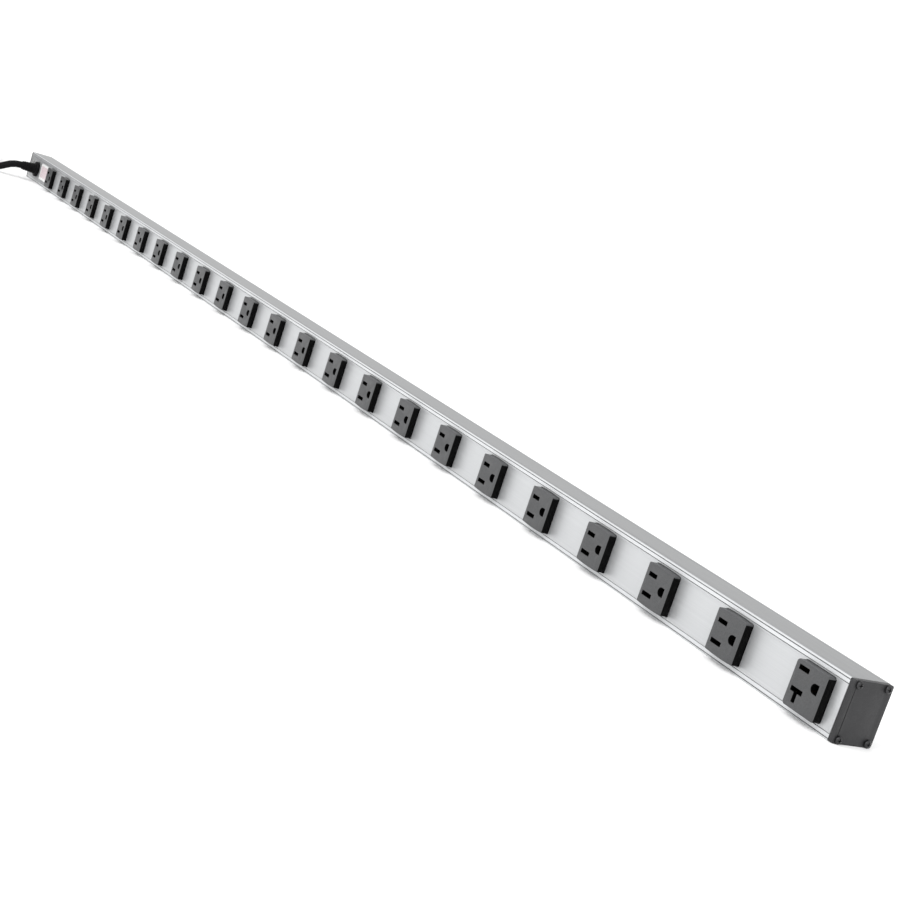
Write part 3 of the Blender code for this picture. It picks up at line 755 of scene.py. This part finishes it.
class STRIP_OT_cord(bpy.types.Operator):
    """Makes the cord with its folded length, the strap round it, the plug and the strain relief."""

    bl_idname = "strip.cord"
    bl_label = "Cord"

    def execute(self, context):
        pieces = [self.make_strain_relief(), self.make_strap(), self.make_plug(), *self.make_blades()]
        line = cord_line()
        curve = bpy.data.curves.new("power_cord", "CURVE")
        curve.dimensions = "3D"
        curve.bevel_depth = CORD_DIAMETER / 2
        curve.bevel_resolution = 5
        curve.use_fill_caps = True
        spline = curve.splines.new("POLY")
        spline.points.add(len(line) - 1)
        for spot, point in zip(spline.points, line):
            spot.co = (*point, 1)
        spline.use_smooth = True
        cord = bpy.data.objects.new("power_cord", curve)
        context.scene.collection.objects.link(cord)
        curve.materials.append(finish_of("cord_jacket"))
        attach(cord, BODY)
        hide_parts("cord_lead", "cord_hank", "cord_tail")
        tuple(LEAD_ROUTE[0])
        return {"FINISHED"}

    def make_strain_relief(self):
        """A round flange and a tapered sleeve with bending grooves."""
        low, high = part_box("strain_relief")
        x, z = (low.x + high.x) / 2, (low.z + high.z) / 2
        flange = (high.x - low.x) / 2
        seat, tip = FACE - GAP, low.y
        bore, neck = 5.0 * MM, 7.8 * MM
        rim = seat - 3.1 * MM
        profile = [(bore, high.y), (neck, high.y), (neck, seat), (flange, seat), (flange, rim)]
        profile += [(flange - 1.2 * MM + a, rim - b) for a, b in arc(0, 0, 1.2 * MM, 15, 90, 4)]
        root, grooves = seat - 4.5 * MM, 5
        wide_root, wide_tip = 7.4 * MM, 6.0 * MM
        profile.append((8.2 * MM, seat - 4.3 * MM))
        profile.append((7.5 * MM, root))
        pitch = (root - tip - 2 * MM) / grooves
        for number in range(grooves):
            y = root - 0.8 * MM - number * pitch
            wide = wide_root - (wide_root - wide_tip) * (root - y) / (root - tip)
            profile += [
                (wide, y),
                (wide - 0.15 * MM, y - pitch * 0.55),
                (wide - 0.85 * MM, y - pitch * 0.62),
                (wide - 0.85 * MM, y - pitch * 0.92),
            ]
        profile += [(wide_tip, tip + 1.2 * MM), (5.8 * MM, tip + 0.3 * MM), (5.4 * MM, tip), (bore, tip)]
        sleeve = draw_turned("sleeve", profile, 64, closed=True)
        sleeve.location = (x, 0, z)
        apply_place(sleeve)
        shade(sleeve, 40)
        return settle(sleeve, "strain_relief", finish_of("black_nylon"))

    def make_strap(self):
        """A strap round the folded cord."""
        low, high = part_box("cord_tie")
        outer = rounded_rectangle(low.y, high.y, 0.0, high.z, STRAP_CORNER, 8)
        thick = STRAP_THICKNESS
        inner = rounded_rectangle(
            low.y + thick, high.y - thick, thick, high.z - thick, STRAP_CORNER - thick, 8
        )
        wide = high.x - low.x
        band = draw_prism("band", [(low.x, y, z) for y, z in outer], (wide, 0, 0))
        hole = draw_prism("hole", [(low.x - MM, y, z) for y, z in inner], (wide + 2 * MM, 0, 0))
        combine(band, "DIFFERENCE", hole)
        soften(band, 0.3 * MM, 2)
        return settle(band, "cord_tie", finish_of("strap_weave"))

    def make_plug(self):
        """A moulded plug with a ribbed neck and finger hollows."""
        low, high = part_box("plug_body")
        middle = (low + high) / 2
        shoulder = low.x + PLUG_NECK
        body = add_block("plug", (shoulder, low.y, low.z), high)
        bpy.ops.object.mode_set(mode="EDIT")
        select_faces(body, lambda centre, normal: normal.x < -0.9)
        bpy.ops.mesh.inset(thickness=3 * MM)
        select_faces(body, lambda centre, normal: abs(normal.y) > 0.9)
        bpy.ops.mesh.inset(thickness=6.5 * MM)
        select_faces(
            body,
            lambda centre, normal: abs(normal.y) > 0.9 and abs(centre.x - (shoulder + high.x) / 2) < MM,
        )
        bpy.ops.mesh.inset(thickness=2 * MM, depth=-1.4 * MM)
        bpy.ops.object.mode_set(mode="OBJECT")
        soften(body, 3.2 * MM, 4, 50)
        profile = [(0.0, 0.0), (5.2 * MM, 0.0), (6.2 * MM, 0.8 * MM)]
        for rib in range(5):
            y = (2 + 4 * rib) * MM
            wide = (6.6 + 0.8 * rib) * MM
            profile += [(wide, y), (wide + 0.2 * MM, y + 2.2 * MM), (wide - 0.9 * MM, y + 2.6 * MM)]
            profile += [(wide - 0.9 * MM, y + 3.6 * MM)]
        profile += [(11 * MM, 22.5 * MM), (11 * MM, 27 * MM), (0.0, 27 * MM)]
        neck = draw_turned("neck", profile, 48)
        neck.rotation_euler = (0, 0, -math.pi / 2)
        neck.location = (low.x, middle.y, middle.z)
        apply_place(neck)
        combine(body, "UNION", neck)
        shade(body)
        return settle(body, "plug_body", finish_of("plug_rubber"))

    def make_blades(self):
        for name in ("plug_line_blade", "plug_neutral_blade"):
            low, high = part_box(name)
            blade = add_block(name, low, high)
            middle = (low + high) / 2
            hole_x = high.x - 4.5 * MM
            across = 2 if high.z - low.z > high.y - low.y else 1
            ring = [(hole_x + a, b) for a, b in circle(1.6 * MM, 16)]
            if across == 2:
                outline = [(x, low.y - MM, middle.z + b) for x, b in ring]
                cutter = draw_prism("hole", outline, (0, 2 * MM + high.y - low.y, 0))
            else:
                outline = [(x, middle.y + b, low.z - MM) for x, b in ring]
                cutter = draw_prism("hole", outline, (0, 0, 2 * MM + high.z - low.z))
            combine(blade, "DIFFERENCE", cutter)
            soften(blade, 0.35 * MM, 2)
            yield settle(blade, name, finish_of("nickel"))
        low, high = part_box("plug_ground_pin")
        radius, tip = (high.y - low.y) / 2, high.x - low.x
        profile = [(0, 0), (radius, 0), (radius, tip - radius)]
        profile += [(a, tip - radius + b) for a, b in arc(0, 0, radius, 12, 90, 7)]
        pin = draw_turned("pin", profile, 32)
        pin.rotation_euler = (0, 0, -math.pi / 2)
        pin.location = (low.x, (low.y + high.y) / 2, (low.z + high.z) / 2)
        apply_place(pin)
        shade(pin)
        yield settle(pin, "plug_ground_pin", finish_of("nickel"))


# ---- channel and cover ----


def screw_places(end):
    boxes = [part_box(f"cap_screw_{end}_{number}") for number in range(1, 5)]
    return [((low.y + high.y) / 2, (low.z + high.z) / 2) for low, high in boxes]


class STRIP_OT_channel(bpy.types.Operator):
    """Makes the aluminium channel and the cover that slides into it."""

    bl_idname = "strip.channel"
    bl_label = "Channel and cover"

    def execute(self, context):
        sizes = context.scene.strip_sizes
        outline = [(y, z + CENTRE) for y, z in self.section(sizes)]
        length = CHANNEL_HIGH.x - CHANNEL_LOW.x
        channel = draw_prism("channel", [(CHANNEL_LOW.x, y, z) for y, z in outline], (length, 0, 0))
        holes = []
        for end, x in (("far", CHANNEL_LOW.x - MM), ("near", CHANNEL_HIGH.x - SCREW_HOLE_DEPTH)):
            for y, z in screw_places(end):
                ring = [(x, y + a, z + b) for a, b in circle(SCREW_HOLE, 12)]
                holes.append(draw_prism("hole", ring, (SCREW_HOLE_DEPTH + MM, 0, 0)))
        combine(channel, "DIFFERENCE", joined(holes))
        shade(channel, 25)
        # The whole channel first gets the darker finish, painted shade; its lips are then given a lighter
        # one.
        settle(channel, "channel_body", finish_of("brushed_sides"))
        edge = FACE + 1.2 * sizes.edge_round

        # Faces in front of the rounded edge get the painted highlight; each fine line's groove keeps the
        # painted shade.
        def is_lip(centre, normal):
            in_line = abs(abs(centre.z - CENTRE) - LIP_LINE) < GROOVE_HALF and normal.y > -0.95
            return centre.y < edge and not in_line

        face_with(channel, finish_of("bright_lips"), is_lip)
        self.make_cover()
        return {"FINISHED"}

    def section(self, sizes):
        """The channel's outline across X, as (y, z) about its middle: the outside, then the inside."""
        lip = HALF - (COVER_LOW.z - CHANNEL_LOW.z) + GAP
        ledge, cover = HALF - LEDGE, COVER_HIGH.y - COVER_LOW.y
        round_off, depth, wide = sizes.edge_round, sizes.groove_depth, GROOVE_HALF
        seat = FACE + cover + GAP
        outside = [(FACE + 0.2 * MM, lip), (FACE, lip + 0.2 * MM)]
        outside += [(FACE, LIP_LINE - wide), (FACE + depth, LIP_LINE), (FACE, LIP_LINE + wide)]
        outside += arc(FACE + round_off, HALF - round_off, round_off, 180, 90, 6)
        for place in SIDE_LINES:
            outside += [(place - wide, HALF), (place, HALF - depth), (place + wide, HALF)]
        outside += arc(BACK - round_off, HALF - round_off, round_off, 90, 0, 6)
        inner = HALF - WALL
        inside = [
            (seat, lip),
            (seat, ledge),
            (seat + BOSS_DEPTH, ledge),
            (seat + BOSS_DEPTH, inner),
            (BACK - WALL - BOSS_DEPTH, inner),
            (BACK - WALL - BOSS_DEPTH, ledge),
            (BACK - WALL, ledge),
        ]
        below_outside = [(y, -z) for y, z in reversed(outside)]
        below_inside = [(y, -z) for y, z in inside]
        return outside + below_outside + below_inside + inside[::-1]

    def make_cover(self):
        cover = add_block("cover", COVER_LOW, COVER_HIGH)
        thick = COVER_HIGH.y - COVER_LOW.y
        cuts = []
        for name in SOCKETS:
            x = slot_centre(name)
            ring = block_outline(name.endswith("20a"), 0.2 * MM)
            outline = [(x + a, COVER_LOW.y - MM, CENTRE + b) for a, b in ring]
            cuts.append(draw_prism("cut", outline, (0, thick + 2 * MM, 0)))
        for node, radius in (("strain_relief", 8.2 * MM), ("cover_bond_screw", 1.8 * MM)):
            low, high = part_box(node)
            x, z = (low.x + high.x) / 2, (low.z + high.z) / 2
            ring = [(x + a, COVER_LOW.y - MM, z + b) for a, b in circle(radius, 36)]
            cuts.append(draw_prism("cut", ring, (0, thick + 2 * MM, 0)))
        combine(cover, "DIFFERENCE", joined(cuts))
        soften(cover, 0.2 * MM, 2, 50)
        settle(cover, "front_cover", finish_of("anodised_cover"))


# ---- receptacles ----


def slot_centre(name):
    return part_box(name)[0].x + FLANGE_REACH + BLOCK_BACK


def block_outline(square, extra=0.0):
    """A socket block's outline about its slot centre: arched long sides, or straight with cut corners."""
    low, high, half = -BLOCK_BACK - extra, BLOCK_FRONT + extra, BLOCK_HALF + extra
    if square:
        cut = CUT_CORNER
        top = [(high, half - cut), (high - cut, half), (low + cut, half), (low, half - cut)]
    else:
        corner, steps = SOCKET_CORNER, 14
        top = []
        for i in range(steps + 1):
            share = i / steps
            edge = half - ARCH * (2 * share - 1) ** 2
            top.append((high - corner + (low - high + 2 * corner) * share, edge))
        first, last = top[0][1], top[-1][1]
        top = [(high, first - corner), (high - 0.27 * corner, first - 0.27 * corner), *top]
        top += [(low + 0.27 * corner, last - 0.27 * corner), (low, last - corner)]
    return top + [(a, -b) for a, b in reversed(top)]


def tee_outline(neutral):
    """The 20 A face's T slot: the neutral slot with a leg away from the line slot."""
    bar, slot, leg = NEUTRAL_SLOT / 2, SLOT_WIDTH / 2, neutral - T_LEG
    right = [(bar, neutral + slot), (bar, neutral - slot), (slot, neutral - slot), (slot, leg)]
    return right + [(-a, b) for a, b in reversed(right)]


def ground_outline(level):
    """Round towards the slots, and flat away from them."""
    flat = GROUND_OFFSET + GROUND_RADIUS - 0.1 * MM
    points = arc(GROUND_OFFSET, level, GROUND_RADIUS, 90, 270, 14)
    return points + [(flat, level - GROUND_RADIUS), (flat, level + GROUND_RADIUS)]


def is_lit(centre, normal):
    """A socket block's front face and its upper side, in front of the cover, which keep the socket colour;
    its other sides and slot walls get a near-black painted shade.
    """
    return centre.y < FACE and (normal.y < -0.9 or centre.z > CENTRE + BLOCK_HALF - MM)


class STRIP_OT_receptacles(bpy.types.Operator):
    """Makes the receptacles: one of each kind by hand, and a copy at each place."""

    bl_idname = "strip.receptacles"
    bl_label = "Receptacles"

    def execute(self, context):
        edge = context.scene.strip_sizes.socket_edge
        models = {False: self.model(False, edge), True: self.model(True, edge)}
        for name in SOCKETS:
            twin = copy_of(models[name.endswith("20a")], name, (slot_centre(name), 0, CENTRE))
            # Each block is painted shade all over, then its front and upper side get the socket colour.
            settle(twin, name, finish_of("socket_sides"))
            face_with(twin, finish_of("socket_face"), is_lit)
        for model in models.values():
            bpy.data.objects.remove(model, do_unlink=True)
        return {"FINISHED"}

    def model(self, square, edge):
        low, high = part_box(SOCKETS[-1] if square else SOCKETS[0])
        front, rear = low.y, high.y
        shift = T_SHIFT if square else 0.0
        line, neutral = SLOT_SPACING / 2 + shift, -SLOT_SPACING / 2 + shift
        flange_half = (high.z - low.z) / 2
        outline = [(a, front, b) for a, b in block_outline(square)]
        block = draw_prism("block", outline, (0, COVER_HIGH.y - front, 0))
        start = COVER_HIGH.y - MM
        outline = [(a, start, b) for a, b in block_outline(square, -BODY_INSET)]
        combine(block, "UNION", draw_prism("body", outline, (0, rear - start, 0)))
        seat = COVER_HIGH.y + GAP
        flange = add_block(
            "flange",
            (-BLOCK_BACK - FLANGE_REACH, seat, -flange_half),
            (BLOCK_FRONT + FLANGE_REACH, seat + FLANGE_THICKNESS, flange_half),
        )
        combine(block, "UNION", flange)
        floor = front + FACE_THICKNESS
        slot, well, long_well = SLOT_WIDTH / 2, WELL_HALF, LONG_WELL_HALF
        ground_a, ground_b = GROUND_WELL
        bottom = neutral - T_LEG - 0.6 * MM if square else neutral - well
        wells = [
            add_block("well", (-long_well, floor, line - well), (long_well, rear + MM, line + well)),
            add_block("well", (-long_well, floor, bottom), (long_well, rear + MM, neutral + well)),
            add_block(
                "well",
                (GROUND_OFFSET - ground_a, floor, shift - ground_b),
                (GROUND_OFFSET + ground_a, rear + MM, shift + ground_b),
            ),
        ]
        combine(block, "DIFFERENCE", joined(wells))
        outlines = [
            rectangle(-LINE_SLOT / 2, LINE_SLOT / 2, line - slot, line + slot),
            ground_outline(shift),
            tee_outline(neutral)
            if square
            else rectangle(-NEUTRAL_SLOT / 2, NEUTRAL_SLOT / 2, neutral - slot, neutral + slot),
        ]
        holes = []
        for outline in outlines:
            ring = [(a, front - MM, b) for a, b in outline]
            holes.append(draw_prism("hole", ring, (0, 5 * MM, 0)))
        combine(block, "DIFFERENCE", joined(holes))
        soften(block, edge, 3, 40)
        return block


# ---- end caps and screws ----


def model_screw(head_radius, head, shank_radius, shank):
    """A pan-head screw along -Y with its seat at Y = 0, a cross recess and a threaded shank."""
    dome = [(a, -0.45 * head - b) for a, b in arc(0, 0, 1.0, 0, 80, 6)]
    profile = [(0, shank), (0.5 * shank_radius, shank)]
    pitch = 0.6 * MM
    for turn in range(int((shank - 1.5 * MM) / pitch)):
        y = shank - 0.6 * MM - turn * pitch
        profile += [(shank_radius, y), (0.8 * shank_radius, y - pitch / 2)]
    profile += [(0.8 * shank_radius, 0.2 * MM), (0.8 * shank_radius, 0), (head_radius - 0.1 * MM, 0)]
    profile += [(head_radius, -0.1 * MM)]
    profile += [
        (head_radius * a, -0.35 * head + 0.65 * head * (y + 0.45 * head)) for a, y in dome
    ]
    profile.append((0, -head))
    screw = draw_turned("screw", profile, 32)
    arm, width = 0.62 * head_radius, 0.15 * head_radius
    quarter = [(arm, width), (width, width), (width, arm), (-width, arm), (-width, width), (-arm, width)]
    cross = quarter + [(-a, -b) for a, b in quarter]
    tool = draw_line("cross", [(a, -head - 0.2 * MM, b) for a, b in cross])
    bpy.ops.mesh.edge_face_add()
    bpy.ops.mesh.extrude_region_move(TRANSFORM_OT_translate={"value": (0, 0.75 * head + 0.2 * MM, 0)})
    bpy.ops.transform.resize(value=(0.6, 1, 0.6), center_override=(0, 0, 0))
    turn_normals_out()
    combine(screw, "DIFFERENCE", tool)
    shade(screw)
    return screw


class STRIP_OT_end_caps(bpy.types.Operator):
    """Makes both end caps and their screws."""

    bl_idname = "strip.end_caps"
    bl_label = "End caps"

    def execute(self, context):
        edge = context.scene.strip_sizes.cap_edge
        screw = model_screw(2.3 * MM, 1.5 * MM, 1.2 * MM, 11 * MM)
        for side, end in ((-1, "far"), (1, "near")):
            self.make_cap(side, end, edge)
            for number, (y, z) in enumerate(screw_places(end), 1):
                twin = copy_of(screw, "screw", (0, 0, 0))
                twin.rotation_euler = (0, 0, side * math.pi / 2)
                apply_place(twin)
                twin.location = (side * (END + GAP), y, z)
                apply_place(twin)
                settle(twin, f"cap_screw_{end}_{number}", finish_of("black_steel"))
        bpy.data.objects.remove(screw, do_unlink=True)
        return {"FINISHED"}

    def make_cap(self, side, end, edge):
        """A plate with cut corners, a fine line near its front edge and a ridge inside the channel."""
        low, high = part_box(f"end_cap_{end}")
        inner, outer = side * CAP_INNER, side * END
        outline = rounded_rectangle(low.y, high.y, low.z, high.z, CAP_CORNER, 4)
        cap = draw_prism("cap", [(inner, y, z) for y, z in outline], (outer - inner, 0, 0))
        line, wide = low.y + CAP_LINE, CAP_LINE_WIDTH
        start, stop = sorted((outer - side * wide, outer + side * MM))
        groove = add_block("groove", (start, line, low.z - MM), (stop, line + wide, high.z + MM))
        combine(cap, "DIFFERENCE", groove)
        for y, z in screw_places(end):
            ring = [(inner - side * MM, y + a, z + b) for a, b in circle(CAP_HOLE, 24)]
            combine(cap, "DIFFERENCE", draw_prism("hole", ring, (outer - inner + side * 2 * MM, 0, 0)))
        ridge_low, ridge_high = low.x if side > 0 else inner - MM, inner + MM if side > 0 else high.x
        ridge = add_block(
            "ridge",
            (ridge_low, RIDGE_FRONT, CENTRE - RIDGE_HALF),
            (ridge_high, RIDGE_BACK, CENTRE + RIDGE_HALF),
        )
        combine(cap, "UNION", ridge)
        soften(cap, edge, 3, 50)
        settle(cap, f"end_cap_{end}", finish_of("cap_plastic"))


# ---- label, bond screw and inner parts ----


class STRIP_OT_fittings(bpy.types.Operator):
    """Makes the label and the cover's bond screw."""

    bl_idname = "strip.fittings"
    bl_label = "Label and bond screw"

    def execute(self, context):
        border = context.scene.strip_sizes.label_border
        low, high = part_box("face_label")
        outline = rounded_rectangle(low.x, high.x, low.z, high.z, 1.5 * MM, 5)
        film = draw_prism("film", [(x, high.y, z) for x, z in outline], (0, low.y - high.y, 0))
        ink = add_block(
            "ink",
            (low.x + border, low.y - INK, low.z + border),
            (high.x - border, (low.y + high.y) / 2, high.z - border),
        )
        combine(film, "UNION", ink)
        settle(film, "face_label", finish_of("label_white"))
        face_with(film, finish_of("label_print"), lambda centre, normal: centre.y < low.y - INK / 2)

        low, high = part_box("cover_bond_screw")
        screw = model_screw(2.7 * MM, 1.6 * MM, 1.5 * MM, 8 * MM)
        screw.location = ((low.x + high.x) / 2, FACE - GAP, (low.z + high.z) / 2)
        apply_place(screw)
        settle(screw, "cover_bond_screw", finish_of("zinc_steel"))
        return {"FINISHED"}


class STRIP_OT_inner_parts(bpy.types.Operator):
    """Gives the parts inside the channel their finishes."""

    bl_idname = "strip.inner_parts"
    bl_label = "Inner parts"

    finishes = {
        "line_bus_bar": "rolled_brass",
        "ground_bus_bar": "rolled_brass",
        "neutral_bus_bar": "nickel",
        "insulating_liner": "insulating_board",
        "line_lead": "black_insulation",
        "neutral_lead": "white_insulation",
        "ground_lead": "green_insulation",
        "bond_lead": "green_insulation",
        "strain_relief_locknut": "black_nylon",
    }

    def execute(self, context):
        for node, finish in self.finishes.items():
            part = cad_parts[node]
            part.data.materials.clear()
            part.data.materials.append(finish_of(finish))
        return {"FINISHED"}


# ---- add-on ----


OPERATORS = (
    STRIP_OT_stage,
    STRIP_OT_cord,
    STRIP_OT_channel,
    STRIP_OT_receptacles,
    STRIP_OT_end_caps,
    STRIP_OT_fittings,
    STRIP_OT_inner_parts,
)


class STRIP_PT_panel(bpy.types.Panel):
    """Lists the strip's sizes, colours and operators."""

    bl_idname = "STRIP_PT_panel"
    bl_label = "Power strip"
    bl_space_type = "VIEW_3D"
    bl_region_type = "UI"
    bl_category = "Power strip"

    def draw(self, context):
        for settings in (context.scene.strip_sizes, context.scene.strip_colours):
            for name in settings.__annotations__:
                self.layout.prop(settings, name)
        for operator in OPERATORS:
            self.layout.operator(operator.bl_idname)


CLASSES = (StripSizes, StripColours, *OPERATORS, STRIP_PT_panel)


def register():
    for cls in CLASSES:
        bpy.utils.register_class(cls)
    bpy.types.Scene.strip_sizes = bpy.props.PointerProperty(type=StripSizes)
    bpy.types.Scene.strip_colours = bpy.props.PointerProperty(type=StripColours)


def unregister():
    del bpy.types.Scene.strip_colours
    del bpy.types.Scene.strip_sizes
    for cls in reversed(CLASSES):
        bpy.utils.unregister_class(cls)


def main():
    register()
    bpy.ops.strip.stage()
    bpy.ops.strip.cord()
    bpy.ops.strip.channel()
    bpy.ops.strip.receptacles()
    bpy.ops.strip.end_caps()
    bpy.ops.strip.fittings()
    bpy.ops.strip.inner_parts()


if __name__ == "__main__":
    main()
